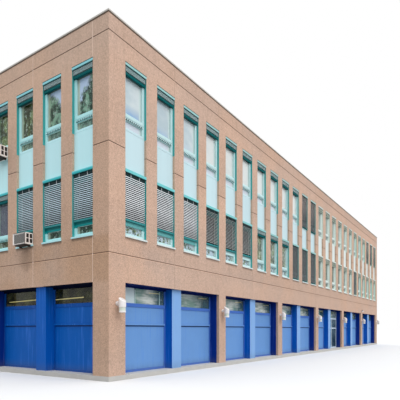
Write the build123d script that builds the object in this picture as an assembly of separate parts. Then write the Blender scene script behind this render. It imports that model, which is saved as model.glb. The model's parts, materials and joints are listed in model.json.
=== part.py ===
from build123d import *
import os
from dataclasses import dataclass

# Grid of the facades, in millimetres
window_pitch = 1500
window_width = 960
corner_width = 690
windows_per_bay = 4
front_bays = 6
side_bays = 2
windows_per_panel = 2

# Heights above the ground
ground_slab_height = 150
lintel_level = 3000
storey_height = 3300
first_joint_level = 3855
first_sill_level = 4440
spandrel_height = 1190
parapet_height = 550
sill_above_floor = 880

# Concrete thicknesses
wall_thickness = 300
parapet_thickness = 220
floor_thickness = 300
ground_pier_depth = 540
edge_beam_depth = 260
roof_covering_thickness = 140

# Joints between the precast panels
joint_gap = 16
joint_chamfer = 14
beam_gap = 5

# Roof edge
coping_height = 45
coping_overhang = 15
coping_gap = 4

# Windows
frame_setback = 90
frame_depth = 60
frame_jamb = 100
frame_bottom_rail = 130
vent_pane_height = 245
transom_height = 210
frame_head = 355
pane_thickness = 24
pane_lap = 30
spandrel_thickness = 60
header_height = 100
header_proud = 8
header_thickness = 30
header_flange = 10
sill_height = 30
sill_projection = 35
sill_ear = 20
sill_drip = 20

# Venetian blinds outside the glass
blind_clearance = 30
blind_thickness = 50
blind_setback = 30
raised_blind_height = 355
lowered_blind_above_sill = 540
closed_blind_above_sill = 60

# Ground floor between the concrete piers
post_width = 540
post_setback = 120
lining_thickness = 20
lining_setback = 120
infill_setback = 430
infill_depth = 80
infill_stile = 60
infill_sill = 80
infill_head = 70
drip_level = 1695
drip_height = 55
drip_projection = 30
rail_level = 2305
rail_height = 115
panel_setback = 25
panel_thickness = 40
clerestory_setback = 30
transom_level = 1600
transom_width = 90
mullion_width = 60

# Wall lamps on the front piers
lamp_level = 2345
lamp_rose_radius = 85
lamp_rose_thickness = 30
lamp_arm_radius = 28
lamp_reach = 215
lamp_body_radius = 112
lamp_hood_top = 2530
lamp_hood_slope = 135
lamp_hood_bottom = 2215
lamp_glass_radius = 102
lamp_glass_bottom = 2060
lamp_edge = 12

# Small globe lamp over the last pier that shows
bays_before_globe = 5
globe_level = 3190
globe_radius = 85
globe_bracket_width = 120
globe_bracket_height = 110
globe_bracket_depth = 100

# Window coolers on the left side, counted from the front corner
cooler_width = 680
cooler_height = 390
cooler_projection = 300
cooler_offset = 30
windows_to_upper_cooler = 4
upper_cooler_rise = 60
windows_to_lower_cooler = 3
cooler_round = 15

# Windows whose blinds hang down, counted from the left end of the front
front_lower_lowered = (1, 2, 3, 4, 5, 6)
front_lower_closed = (10, 11, 12, 19)
front_upper_closed = (11, 12, 22, 23, 24)
# and counted from the front corner on the left side
left_lower_lowered = (1, 2, 3)

# The half bay on the front that is glazed down to the floor comes after this many
half_bays_before_glazed = 7

# Sizes worked out from those above
pier_width = window_pitch - window_width
window_height = storey_height - spandrel_height
bay_length = windows_per_bay * window_pitch
opening_width = bay_length - pier_width
panel_length = windows_per_panel * window_pitch
second_joint_level = first_joint_level + storey_height
top_joint_level = second_joint_level + storey_height
lower_head_level = first_sill_level + window_height
upper_sill_level = first_sill_level + storey_height
upper_head_level = upper_sill_level + window_height
parapet_level = top_joint_level + parapet_height
first_floor_level = first_sill_level - sill_above_floor
second_floor_level = first_floor_level + storey_height
roof_slab_level = second_floor_level + storey_height
infill_back = infill_setback + infill_depth
half_width = (opening_width - post_width) / 2
infill_width = half_width - lining_thickness
panel_bottom = ground_slab_height + infill_sill
clerestory_bottom = rail_level + rail_height
clerestory_top = lintel_level - infill_head
low = (Align.MIN, Align.MIN, Align.MIN)


def facade_length(bays):
    """Length of a side: two corner piers, and windows with piers between them."""
    return 2 * corner_width + bays * bay_length - pier_width


front_length = facade_length(front_bays)
side_length = facade_length(side_bays)


@dataclass
class Side:
    """One side of the building. Its pieces are made with X along the wall from its left end,
    as seen from outside, and Y into the building, and then moved to their place."""

    name: str
    bays: int
    place: Location

    @property
    def length(self):
        return facade_length(self.bays)

    @property
    def windows(self):
        return self.bays * windows_per_bay


front = Side("front", front_bays, Location((-front_length / 2, -side_length / 2, 0)))
right = Side("right", side_bays, Location((front_length / 2, -side_length / 2, 0), (0, 0, 90)))
rear = Side("rear", front_bays, Location((front_length / 2, side_length / 2, 0), (0, 0, 180)))
left = Side("left", side_bays, Location((-front_length / 2, side_length / 2, 0), (0, 0, 270)))
sides = (front, right, rear, left)
ends = (right, left)


def block(start, end, near, far, bottom, top):
    """A plain box between two places along the wall, two depths and two heights."""
    return Pos(start, near, bottom) * Box(end - start, far - near, top - bottom, align=low)


def facade_block(start, end, thickness, bottom, top, joints):
    """A concrete block of the wall. Its outer edges are chamfered at the heights in joints,
    and a block that starts at the corner is chamfered round its end face too."""
    solid = block(start, end, 0, thickness, bottom, top)
    by_level = solid.edges().group_by(Axis.Z)
    level_edges = []
    if bottom in joints:
        level_edges += by_level[0]
    if top in joints:
        level_edges += by_level[-1]
    outer = [e for e in level_edges if e in solid.edges().group_by(Axis.Y)[0]
             or (start == 0 and e in solid.edges().group_by(Axis.X)[0])]
    return chamfer(outer, joint_chamfer) if outer else solid


def window_starts(side):
    """Where each window of a side starts, from its left end."""
    return [corner_width + i * window_pitch for i in range(side.windows)]


def opening_starts(side):
    """Where each ground-floor opening of a side starts."""
    return [corner_width + i * bay_length for i in range(side.bays)]


def half_bay_starts(side):
    """Where the two halves of each ground-floor opening start, each side of its blue post."""
    halves = []
    for start in opening_starts(side):
        halves.append(start + lining_thickness)
        halves.append(start + half_width + post_width)
    return halves


def panel_course(side, thickness, bottom, top, joints):
    """A course of precast panels. Each side's last corner is the next side's return."""
    ends_at = [corner_width - pier_width + k * panel_length
               for k in range(1, side.windows // windows_per_panel + 1)]
    starts_at = [0] + ends_at[:-1]
    return [side.place * facade_block(start, end - joint_gap, thickness, bottom, top, joints)
            for start, end in zip(starts_at, ends_at)]


def pier_course(side, bottom, top, joints):
    """The corner pier at a side's left end, and the piers between its windows."""
    corner = facade_block(0, corner_width, wall_thickness, bottom, top, joints)
    pier = facade_block(-pier_width, 0, wall_thickness, bottom, top, joints)
    between = [Pos(start, 0, 0) * pier for start in window_starts(side)[1:]]
    return [side.place * solid for solid in [corner] + between]


def corner_returns(thickness, bottom, top, joints):
    """The short legs of the L-shaped corner panels, at the right end of each side."""
    return [side.place * facade_block(side.length - corner_width, side.length - thickness,
                                      thickness, bottom, top, joints)
            for side in sides]


def ground_slab():
    return [Box(front_length, side_length, ground_slab_height,
                align=(Align.CENTER, Align.CENTER, Align.MIN))]


def ground_piers():
    """Square concrete piers at the corners and between the ground-floor openings."""
    solids = []
    for side in sides:
        corner = block(0, corner_width, 0, corner_width, ground_slab_height, lintel_level)
        pier = block(-pier_width, 0, 0, ground_pier_depth, ground_slab_height, lintel_level)
        solids.append(side.place * corner)
        solids += [side.place * Pos(start, 0, 0) * pier for start in opening_starts(side)[1:]]
    return solids


def inner_slab(thickness, top):
    """A slab that reaches the inner face of the walls on all four sides."""
    length = front_length - 2 * wall_thickness
    width = side_length - 2 * wall_thickness
    return [Pos(0, 0, top) * Box(length, width, thickness,
                                 align=(Align.CENTER, Align.CENTER, Align.MAX))]


def edge_beams():
    """The beams that carry the first floor's edges, over the ground-floor openings."""
    solids = []
    near = wall_thickness
    far = wall_thickness + edge_beam_depth
    top = first_floor_level - floor_thickness
    for side in sides:
        reach = near if side not in ends else far + beam_gap
        beam = block(reach, side.length - reach, near, far, lintel_level, top)
        solids.append(side.place * beam)
    return solids


def roof_covering():
    return inner_slab(roof_covering_thickness, roof_slab_level + roof_covering_thickness)


def parapet_coping():
    """Four lengths of metal coping on the parapet, with a gap where they meet."""
    solids = []
    far = parapet_thickness + coping_overhang
    for side in sides:
        reach = -coping_overhang if side not in ends else far + coping_gap
        strip = block(reach, side.length - reach, -coping_overhang, far,
                      parapet_level, parapet_level + coping_height)
        solids.append(side.place * strip)
    return solids


def frame_openings():
    """The bottom and top of the small pane and the large pane, above the window's sill."""
    large_bottom = frame_bottom_rail + vent_pane_height + transom_height
    return ((frame_bottom_rail, frame_bottom_rail + vent_pane_height),
            (large_bottom, window_height - frame_head))


def window_frame():
    back = frame_setback + frame_depth
    frame = block(0, window_width, frame_setback, back, 0, window_height)
    for bottom, top in frame_openings():
        frame -= block(frame_jamb, window_width - frame_jamb, frame_setback, back, bottom, top)
    return frame


def window_pane():
    """One sheet of glass behind both openings of a window frame."""
    (bottom, _), (_, top) = frame_openings()
    near = frame_setback + frame_depth
    return block(frame_jamb - pane_lap, window_width - frame_jamb + pane_lap,
                 near, near + pane_thickness, bottom - pane_lap, top + pane_lap)


def spandrel_panel():
    return block(0, window_width, frame_setback, frame_setback + spandrel_thickness,
                 lower_head_level, upper_sill_level)


def window_header():
    """An angle across the top of a window: a strip at the wall's face and a flange behind it."""
    strip = block(0, window_width, -header_proud, header_thickness - header_proud,
                  -header_height, 0)
    flange = block(0, window_width, -header_proud, frame_setback, -header_flange, 0)
    return strip + flange


def window_sill():
    """A metal sill on the sill panel, with a nosing a little wider than the window."""
    body = block(0, window_width, -sill_projection, frame_setback, 0, sill_height)
    nosing = block(-sill_ear, window_width + sill_ear, -sill_projection, 0,
                   -sill_drip, sill_height)
    return body + nosing


def blind(height):
    """A venetian blind that hangs from the header's flange."""
    return block(blind_clearance, window_width - blind_clearance, blind_setback,
                 blind_setback + blind_thickness, -header_flange - height, -header_flange)


def at_windows(solid, levels):
    """A copy of one piece at every window of every side, at each level."""
    return [side.place * Pos(start, 0, level) * solid
            for side in sides for start in window_starts(side) for level in levels]


def blind_height(side, number, upper):
    """How far a window's blind hangs. The rear and the right side repeat the front and the left."""
    number_from_corner = side.windows + 1 - number if side in ends else number
    full = window_height - header_flange
    if side in ends:
        lowered = () if upper else left_lower_lowered
        closed = ()
    else:
        lowered = () if upper else front_lower_lowered
        closed = front_upper_closed if upper else front_lower_closed
    if number_from_corner in closed:
        return full - closed_blind_above_sill
    if number_from_corner in lowered:
        return full - lowered_blind_above_sill
    return raised_blind_height


def window_blinds():
    solids = []
    for side in sides:
        for number, start in enumerate(window_starts(side), 1):
            for head, upper in ((lower_head_level, False), (upper_head_level, True)):
                hanging = blind(blind_height(side, number, upper))
                solids.append(side.place * Pos(start, 0, head) * hanging)
    return solids


def infill_posts():
    """Blue boxed posts in the middle of each ground-floor opening."""
    post = block(half_width, half_width + post_width, post_setback, infill_back,
                 ground_slab_height, lintel_level)
    return [side.place * Pos(start, 0, 0) * post
            for side in sides for start in opening_starts(side)]


def pier_linings():
    """Blue sheets on the sides of the concrete piers."""
    sheet = block(0, lining_thickness, lining_setback, infill_back,
                  ground_slab_height, lintel_level)
    far = opening_width - lining_thickness
    return [side.place * Pos(start + shift, 0, 0) * sheet
            for side in sides for start in opening_starts(side) for shift in (0, far)]


def infill_opening(bottom, top):
    return block(infill_stile, infill_width - infill_stile, infill_setback, infill_back,
                 bottom, top)


def infill_sheet(setback, thickness, bottom, top):
    """A sheet that fills an opening of an infill frame from stile to stile."""
    near = infill_setback + setback
    return block(infill_stile, infill_width - infill_stile, near, near + thickness, bottom, top)


def infill_frame():
    frame = block(0, infill_width, infill_setback, infill_back, ground_slab_height, lintel_level)
    frame -= infill_opening(panel_bottom, rail_level)
    frame -= infill_opening(clerestory_bottom, clerestory_top)
    return frame


def glazed_frame():
    """The infill frame of the half bay that has glass in place of the blue panels."""
    frame = infill_frame()
    frame += infill_opening(transom_level, transom_level + transom_width)
    middle = infill_width / 2
    frame += block(middle - mullion_width / 2, middle + mullion_width / 2,
                   infill_setback, infill_back, panel_bottom, rail_level)
    return frame


def glazed_frame_panes():
    """The four panes under the rail of the glazed half bay."""
    middle = infill_width / 2
    near = infill_setback + clerestory_setback
    spans = ((infill_stile, middle - mullion_width / 2),
             (middle + mullion_width / 2, infill_width - infill_stile))
    heights = ((panel_bottom, transom_level), (transom_level + transom_width, rail_level))
    return [block(start, end, near, near + pane_thickness, bottom, top)
            for start, end in spans for bottom, top in heights]


def glazed_start():
    """Where the glazed half bay starts along the front."""
    return half_bay_starts(front)[half_bays_before_glazed]


def at_half_bays(solid, with_glazed=True):
    """A copy of one piece in every half bay, with or without the glazed one."""
    return [side.place * Pos(start, 0, 0) * solid
            for side in sides for start in half_bay_starts(side)
            if with_glazed or side is not front or start != glazed_start()]


def infill_frames():
    return at_half_bays(infill_frame(), with_glazed=False)


def lower_panels():
    return at_half_bays(infill_sheet(panel_setback, panel_thickness, panel_bottom, drip_level),
                        with_glazed=False)


def upper_panels():
    return at_half_bays(infill_sheet(panel_setback, panel_thickness,
                                     drip_level + drip_height, rail_level), with_glazed=False)


def drip_rails():
    """The rails between the two blue panels, which stand out to throw off the rain."""
    setback = -drip_projection
    thickness = drip_projection + panel_setback + panel_thickness
    return at_half_bays(infill_sheet(setback, thickness, drip_level, drip_level + drip_height),
                        with_glazed=False)


def clerestory_panes():
    return at_half_bays(infill_sheet(clerestory_setback, pane_thickness,
                                     clerestory_bottom, clerestory_top))


def at_glazed_half(solids):
    return [front.place * Pos(glazed_start(), 0, 0) * solid for solid in solids]


def wall_lamp():
    """A lamp on an arm: a wall rose, a hood with a sloping top, and a glass under it."""
    outward = Rot(90, 0, 0)
    rose = Pos(0, 0, lamp_level) * outward * Cylinder(
        lamp_rose_radius, lamp_rose_thickness, align=(Align.CENTER, Align.CENTER, Align.MIN))
    arm = Pos(0, 0, lamp_level) * outward * Cylinder(
        lamp_arm_radius, lamp_reach, align=(Align.CENTER, Align.CENTER, Align.MIN))
    hood = Pos(0, -lamp_reach, lamp_hood_bottom) * Cylinder(
        lamp_body_radius, lamp_hood_top - lamp_hood_bottom,
        align=(Align.CENTER, Align.CENTER, Align.MIN))
    hood = fillet(hood.edges().group_by(Axis.Z)[-1], lamp_edge)
    hood -= sloping_cut()
    glass = Pos(0, -lamp_reach, lamp_glass_bottom) * Cylinder(
        lamp_glass_radius, lamp_hood_bottom - lamp_glass_bottom,
        align=(Align.CENTER, Align.CENTER, Align.MIN))
    return rose + arm + hood + glass


def sloping_cut():
    """The wedge over a lamp's hood, which leaves its top lower at the outside."""
    inner = -lamp_reach + lamp_body_radius
    outer = -lamp_reach - lamp_body_radius
    profile = Polyline((0, inner, lamp_hood_top), (0, outer, lamp_hood_top - lamp_hood_slope),
                       (0, outer, lamp_hood_top), close=True)
    return extrude(make_face(profile), lamp_body_radius, dir=(1, 0, 0), both=True)


def wall_lamps():
    """A lamp on the middle of each concrete pier of the front."""
    places = [corner_width / 2]
    places += [start - pier_width / 2 for start in opening_starts(front)[1:]]
    places.append(front.length - corner_width / 2)
    lamp = wall_lamp()
    return [front.place * Pos(place, 0, 0) * lamp for place in places]


def globe_lamp():
    """A small globe under a bracket on the lintel panels."""
    place = opening_starts(front)[bays_before_globe] - pier_width / 2
    bracket = block(-globe_bracket_width / 2, globe_bracket_width / 2,
                    -globe_bracket_depth, 0, globe_level, globe_level + globe_bracket_height)
    globe = Pos(0, -globe_radius, globe_level) * Sphere(globe_radius)
    return [front.place * Pos(place, 0, 0) * (bracket + globe)]


def window_cooler():
    """A room cooler's casing, which stands out of the foot of a window."""
    casing = block(cooler_offset, cooler_offset + cooler_width, -cooler_projection,
                   frame_setback, 0, cooler_height)
    face = casing.faces().sort_by(Axis.Y)[0]
    return fillet(face.edges(), cooler_round)


def window_coolers():
    """The two coolers on the left side. Their windows are counted back from the front corner."""
    starts = window_starts(left)
    cooler = window_cooler()
    shift = window_width - cooler_width - 2 * cooler_offset
    upper = Pos(starts[-windows_to_upper_cooler] + shift, 0,
                upper_sill_level + upper_cooler_rise)
    lower = Pos(starts[-windows_to_lower_cooler] + shift, 0, first_sill_level + sill_height)
    return [left.place * upper * cooler, left.place * lower * cooler]


def concrete_nodes(name, group):
    """The courses of precast concrete on one side, or on both ends."""
    joint_levels = (first_joint_level, second_joint_level, top_joint_level)
    courses = {
        "lintel_panels": lambda s: panel_course(s, wall_thickness, lintel_level,
                                                first_joint_level, joint_levels),
        "sill_panels": lambda s: panel_course(s, wall_thickness, first_joint_level,
                                              first_sill_level, joint_levels),
        "lower_piers": lambda s: pier_course(s, first_sill_level, second_joint_level,
                                             joint_levels),
        "upper_piers": lambda s: pier_course(s, second_joint_level, upper_head_level,
                                             joint_levels),
        "head_panels": lambda s: panel_course(s, wall_thickness, upper_head_level,
                                              top_joint_level, joint_levels),
        "parapet_panels": lambda s: panel_course(s, parapet_thickness, top_joint_level,
                                                 parapet_level, joint_levels),
    }
    return {f"{name}_{course}": [solid for side in group for solid in make(side)]
            for course, make in courses.items()}


def corner_nodes():
    """The returns of the corner panels. Returns that touch are kept in different nodes."""
    joint_levels = (first_joint_level, second_joint_level, top_joint_level)
    lintel = corner_returns(wall_thickness, lintel_level, first_joint_level, joint_levels)
    lower = corner_returns(wall_thickness, first_joint_level, second_joint_level, joint_levels)
    upper = corner_returns(wall_thickness, second_joint_level, top_joint_level, joint_levels)
    parapet = corner_returns(parapet_thickness, top_joint_level, parapet_level, joint_levels)
    return {"lintel_and_upper_returns": lintel + upper,
            "lower_and_parapet_returns": lower + parapet}


def all_nodes():
    nodes = {
        "ground_slab": ground_slab(),
        "ground_piers": ground_piers(),
        "edge_beams": edge_beams(),
        "first_floor_slab": inner_slab(floor_thickness, first_floor_level),
        "second_floor_slab": inner_slab(floor_thickness, second_floor_level),
        "roof_slab": inner_slab(floor_thickness, roof_slab_level),
        "roof_covering": roof_covering(),
        "parapet_coping": parapet_coping(),
    }
    nodes.update(concrete_nodes("front", (front,)))
    nodes.update(concrete_nodes("rear", (rear,)))
    nodes.update(concrete_nodes("end", ends))
    nodes.update(corner_nodes())
    both_storeys = (first_sill_level, upper_sill_level)
    nodes["window_frames"] = at_windows(window_frame(), both_storeys)
    nodes["window_panes"] = at_windows(window_pane(), both_storeys)
    nodes["window_headers"] = at_windows(window_header(), (lower_head_level, upper_head_level))
    nodes["window_sills"] = at_windows(window_sill(), (first_sill_level,))
    nodes["spandrel_panels"] = at_windows(spandrel_panel(), (0,))
    nodes["window_blinds"] = window_blinds()
    nodes["window_coolers"] = window_coolers()
    nodes["infill_posts"] = infill_posts()
    nodes["pier_linings"] = pier_linings()
    nodes["infill_frames"] = infill_frames()
    nodes["lower_infill_panels"] = lower_panels()
    nodes["upper_infill_panels"] = upper_panels()
    nodes["drip_rails"] = drip_rails()
    nodes["clerestory_panes"] = clerestory_panes()
    nodes["glazed_bay_frame"] = at_glazed_half([glazed_frame()])
    nodes["glazed_bay_panes"] = at_glazed_half(glazed_frame_panes())
    nodes["wall_lamps"] = wall_lamps()
    nodes["globe_lamp"] = globe_lamp()
    return nodes


os.makedirs("parts", exist_ok=True)
for node, solids in all_nodes().items():
    export_step(Compound(children=solids), f"parts/{node}.step")
print("length", front_length, "width", side_length, "height", parapet_level + coping_height)
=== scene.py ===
"""The looks of a three-storey office building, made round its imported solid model."""

import json
import math

import bmesh
import bpy
from bpy.props import FloatProperty, FloatVectorProperty, IntProperty, PointerProperty
from mathutils import Matrix, Vector


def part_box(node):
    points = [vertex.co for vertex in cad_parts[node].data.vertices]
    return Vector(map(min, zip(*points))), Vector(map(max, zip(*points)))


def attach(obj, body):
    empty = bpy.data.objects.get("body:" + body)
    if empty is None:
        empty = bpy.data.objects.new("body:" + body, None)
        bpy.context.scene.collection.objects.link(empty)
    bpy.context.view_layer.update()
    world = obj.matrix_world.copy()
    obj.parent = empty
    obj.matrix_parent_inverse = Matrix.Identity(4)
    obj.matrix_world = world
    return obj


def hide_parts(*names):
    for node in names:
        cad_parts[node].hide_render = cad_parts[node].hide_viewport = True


bl_info = {
    "name": "Office Building Looks",
    "version": (1, 0, 0),
    "blender": (4, 5, 0),
    "location": "View3D > Sidebar > Building",
    "description": "Windows, blinds, finishes and stage of an office building",
    "category": "Object",
}

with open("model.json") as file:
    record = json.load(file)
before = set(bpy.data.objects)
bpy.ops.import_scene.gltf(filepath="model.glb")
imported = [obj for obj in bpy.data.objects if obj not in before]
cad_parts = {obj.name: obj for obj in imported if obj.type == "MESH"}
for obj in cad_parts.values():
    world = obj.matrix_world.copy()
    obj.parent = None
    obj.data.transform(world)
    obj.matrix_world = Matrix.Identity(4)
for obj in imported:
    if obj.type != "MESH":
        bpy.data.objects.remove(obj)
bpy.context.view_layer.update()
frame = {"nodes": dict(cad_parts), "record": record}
# The lowest and the highest corner of the walls
low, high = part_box("ground_slab")

# Where the solid model has its windows, bays and joints, in metres
PITCH, CORNER, BAY = 1.5, 0.69, 6.0
SILL, STOREY, JOINT = 4.44, 3.3, 3.855
# Over the sill: the top of the small pane and the foot of the large one
SMALL_TOP, LARGE_FOOT = 0.372, 0.585
# A level between the two rows of windows, and where the pale far windows of a long wall begin
UPSTAIRS, PALE_FROM = 7.0, 18.5
# What the frame and spandrel colours are scaled by on the ends of the building: painted
# light, the same paints as they look in the ends' light
END_TINT = (1.0, 1.2, 1.18)
# From the blinds' ends to the sides of the opening, and the middle of the blinds' depth
BLIND_GAP, BLIND_DEPTH = 0.03, 0.055


def linear(red, green, blue):
    """A colour of 0 to 255 as the light values that materials take."""
    return tuple((v / 255 / 12.92) if v <= 10 else ((v / 255 + 0.055) / 1.055) ** 2.4
                 for v in (red, green, blue))


def tinted(colour, *factors):
    """A plain colour with its red, green and blue scaled."""
    return tuple(v * f for v, f in zip(colour, factors))


def length_value(name, description, default):
    return FloatProperty(name=name, description=description, default=default, unit="LENGTH",
                         precision=3)


def colour_value(name, description, *default):
    return FloatVectorProperty(name=name, description=description, subtype="COLOR", size=3,
                               min=0, max=1, default=linear(*default))


class BuildingSizes(bpy.types.PropertyGroup):
    """The sizes of the solid model that the looks are placed by."""

    window_pitch: length_value("Window Pitch", "From one window to the next", PITCH)
    window_width: length_value("Window Width", "Between two piers", 0.96)
    window_height: length_value("Window Height", "From sill to header", 2.11)
    corner_width: length_value("Corner Width", "Concrete beside the first window", CORNER)
    bay_length: length_value("Bay Length", "From one ground-floor pier to the next", BAY)
    first_sill: length_value("First Sill", "Sill level of the lower windows", SILL)
    storey_height: length_value("Storey Height", "From floor to floor", STOREY)
    first_joint: length_value("First Joint", "Level of the lowest panel joint", JOINT)
    lintel: length_value("Lintel", "Level of the ground-floor openings' tops", 3.0)
    frame_setback: length_value("Frame Setback", "From the wall's face to the frames", 0.09)
    frame_jamb: length_value("Frame Jamb", "Width of a frame's sides", 0.1)
    frame_head: length_value("Frame Head", "Height of a frame's top, behind the blind", 0.355)
    bottom_rail: length_value("Bottom Rail", "Height of a frame's bottom", 0.13)
    infill_setback: length_value("Infill Setback", "From the wall's face to the infill", 0.43)
    slat_pitch: length_value("Slat Pitch", "From one blind slat to the next", 0.061)
    slat_width: length_value("Slat Width", "Depth of one blind slat", 0.077)
    vent_slots: IntProperty(name="Vent Slots", description="Slots over each small pane",
                            default=9, min=1)


class BuildingColours(bpy.types.PropertyGroup):
    """The colours of the building's finishes."""

    concrete: colour_value("Concrete", "Exposed aggregate", 203, 172, 153)
    frames: colour_value("Frames", "Window frames", 198, 229, 230)
    trim: colour_value("Trim", "Header strips", 112, 204, 206)
    lining: colour_value("Reveal Lining", "Sheets beside the frames", 64, 164, 162)
    # The raised and closed blinds' rails are painted as dark as they look in their shade
    rails: colour_value("Bottom Rails", "Rails of the raised and closed blinds", 4, 92, 94)
    spandrels: colour_value("Spandrels", "Sheets between the windows", 200, 226, 232)
    blinds: colour_value("Blinds", "Light slats", 246, 248, 250)
    dark_blinds: colour_value("Dark Blinds", "Slats of the closed blinds", 92, 98, 100)
    # The posts' blue on faces that look out of the long fronts, and the same blue painted in shade
    # for the other faces
    lit_blue: colour_value("Faded Blue", "Posts on the long fronts", 132, 174, 226)
    shaded_blue: colour_value("Deep Blue", "Posts out of the sun", 2, 92, 184)
    navy: colour_value("Navy", "Linings of the ground-floor piers", 0, 44, 128)


def add_node(tree, kind, settings=None, inputs=None):
    """Adds a node to a tree: its settings first, then the values or links of its sockets."""
    node = tree.nodes.new(kind)
    for key, value in (settings or {}).items():
        setattr(node, key, value)
    for key, value in (inputs or {}).items():
        if isinstance(value, bpy.types.NodeSocket):
            tree.links.new(value, node.inputs[key])
        else:
            node.inputs[key].default_value = value
    return node


def operation(name, reflected=False):
    """A method of Value that puts it and what else it is given through one Math node."""
    def method(self, *others):
        values = (*others, self) if reflected else (self, *others)
        return self.finish.node("ShaderNodeMath", {"operation": name}, dict(enumerate(values)))
    return method


class Value:
    """A material's socket that can be used with numbers and others in + - * / and **."""

    def __init__(self, finish, socket):
        self.finish = finish
        self.socket = socket

    __add__, __radd__ = operation("ADD"), operation("ADD", reflected=True)
    __sub__, __rsub__ = operation("SUBTRACT"), operation("SUBTRACT", reflected=True)
    __mul__, __rmul__ = operation("MULTIPLY"), operation("MULTIPLY", reflected=True)
    __truediv__, __pow__ = operation("DIVIDE"), operation("POWER")
    __abs__, sign = operation("ABSOLUTE"), operation("SIGN")
    floor, part = operation("FLOOR"), operation("FRACT")
    over, under = operation("GREATER_THAN"), operation("LESS_THAN")

    def step(self, start, length):
        """Which length from start on the value lies in, as a whole number."""
        return ((self - start) / length).floor()

    def within(self, start, length):
        """How far the value lies in its length, counted from start on."""
        return ((self - start) / length).part() * length

    def smooth(self, start, end):
        """0 before start, 1 after end, with a smooth step between them."""
        values = {"Value": self, "From Min": start, "From Max": end}
        if start > end:
            values.update({"From Min": end, "From Max": start, "To Min": 1.0, "To Max": 0.0})
        return self.finish.node("ShaderNodeMapRange", {"interpolation_type": "SMOOTHSTEP"}, values)

    def band(self, start, full, fading, end):
        """1 between full and fading, 0 before start and after end."""
        return self.smooth(start, full) * self.smooth(end, fading)


class Finish:
    """A procedural material whose patterns lie in the building's own space, in metres."""

    def __init__(self, name):
        self.material = bpy.data.materials.new(name)
        self.material.use_nodes = True
        self.tree = self.material.node_tree
        self.tree.nodes.clear()
        self.at = self.node("ShaderNodeTexCoord", output="Object")
        self.x, self.y, self.z = self.split(self.at)

    def node(self, kind, settings=None, inputs=None, output=0):
        """Adds a node and gives one of its outputs. Inputs can be values of this material."""
        sockets = {key: getattr(value, "socket", value) for key, value in (inputs or {}).items()}
        return Value(self, add_node(self.tree, kind, settings, sockets).outputs[output])

    def split(self, vector):
        parts = add_node(self.tree, "ShaderNodeSeparateXYZ", None, {0: vector.socket}).outputs
        return [Value(self, part) for part in parts]

    def noise(self, scale, detail=2.0, roughness=0.5, stretch=(1, 1, 1), shift=(0, 0, 0)):
        place = self.node("ShaderNodeMapping", None,
                          {"Vector": self.at, "Scale": stretch, "Location": shift})
        return self.node("ShaderNodeTexNoise", None,
                         {"Vector": place, "Scale": scale, "Detail": detail,
                          "Roughness": roughness})

    def random(self, *parts):
        """A random number from 0 to 1 for each set of three whole numbers."""
        place = self.node("ShaderNodeCombineXYZ", None, dict(enumerate(parts)))
        return self.node("ShaderNodeTexWhiteNoise", {"noise_dimensions": "3D"},
                         {"Vector": place})

    def mix(self, share, first, second):
        """From the first colour to the second as share goes from 0 to 1."""
        pair = {0: share, 6: self.colour(first), 7: self.colour(second)}
        return self.node("ShaderNodeMix", {"data_type": "RGBA"}, pair, output=2)

    def layers(self, colour, *coats):
        """A colour with others laid over it in turn. A coat is its share, and then a colour or
        its red, green and blue from 0 to 255."""
        for share, *coat in coats:
            colour = self.mix(share, colour, linear(*coat) if len(coat) == 3 else coat[0])
        return colour

    @staticmethod
    def colour(value):
        return value if isinstance(value, Value) else (*value, 1.0)

    def surface(self, colour, roughness, gloss=0.5, tone=None, relief=None, **others):
        """Ends the material in a surface and returns it. tone scales the colour, and relief is
        the height, distance and strength of a bump."""
        if tone is not None:
            plain = colour if isinstance(colour, Value) else tuple(colour)
            colour = self.node("ShaderNodeVectorMath", {"operation": "SCALE"},
                               {0: plain, "Scale": tone})
        inputs = {"Base Color": self.colour(colour), "Roughness": roughness,
                  "Specular IOR Level": gloss}
        if relief:
            names = ("Height", "Distance", "Strength")
            inputs["Normal"] = self.node("ShaderNodeBump", None, dict(zip(names, relief)))
        inputs.update({key.replace("_", " "): value for key, value in others.items()})
        shader = self.node("ShaderNodeBsdfPrincipled", None, inputs)
        add_node(self.tree, "ShaderNodeOutputMaterial", None, {"Surface": shader.socket})
        return self.material

    def long_wall(self, depth=0.3):
        """1 within the two long walls, whichever way a face looks, 0 elsewhere."""
        return abs(self.y).over(high.y - depth)

    def front(self):
        """1 on faces that look out of the two long fronts, 0 elsewhere."""
        _, towards, _ = self.split(self.node("ShaderNodeNewGeometry", output="Normal"))
        return abs(towards).over(0.5) * self.long_wall(0.55)

    def along(self, long_wall):
        """How far a point lies from the left end of its wall, seen from outside."""
        long_way = high.x - self.x * self.y.sign()
        short_way = high.y + self.y * self.x.sign()
        return short_way + (long_way - short_way) * long_wall

    def pale_far(self, long_wall):
        """1 at the pale far windows of the long walls, from the thirteenth on, 0 elsewhere."""
        return long_wall * self.along(long_wall).over(PALE_FROM)

    def over_sill(self):
        """How high a point lies over the next sill below it."""
        return self.z.within(SILL, STOREY)

    def upstairs(self):
        """1 at the upper windows, 0 below them."""
        return self.z.over(UPSTAIRS)


def varied(tone, *patterns):
    """A number that patterns of 0 to 1 move up and down, each by its own depth."""
    for pattern, depth in patterns:
        tone = tone + (pattern - 0.5) * depth
    return tone


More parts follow.
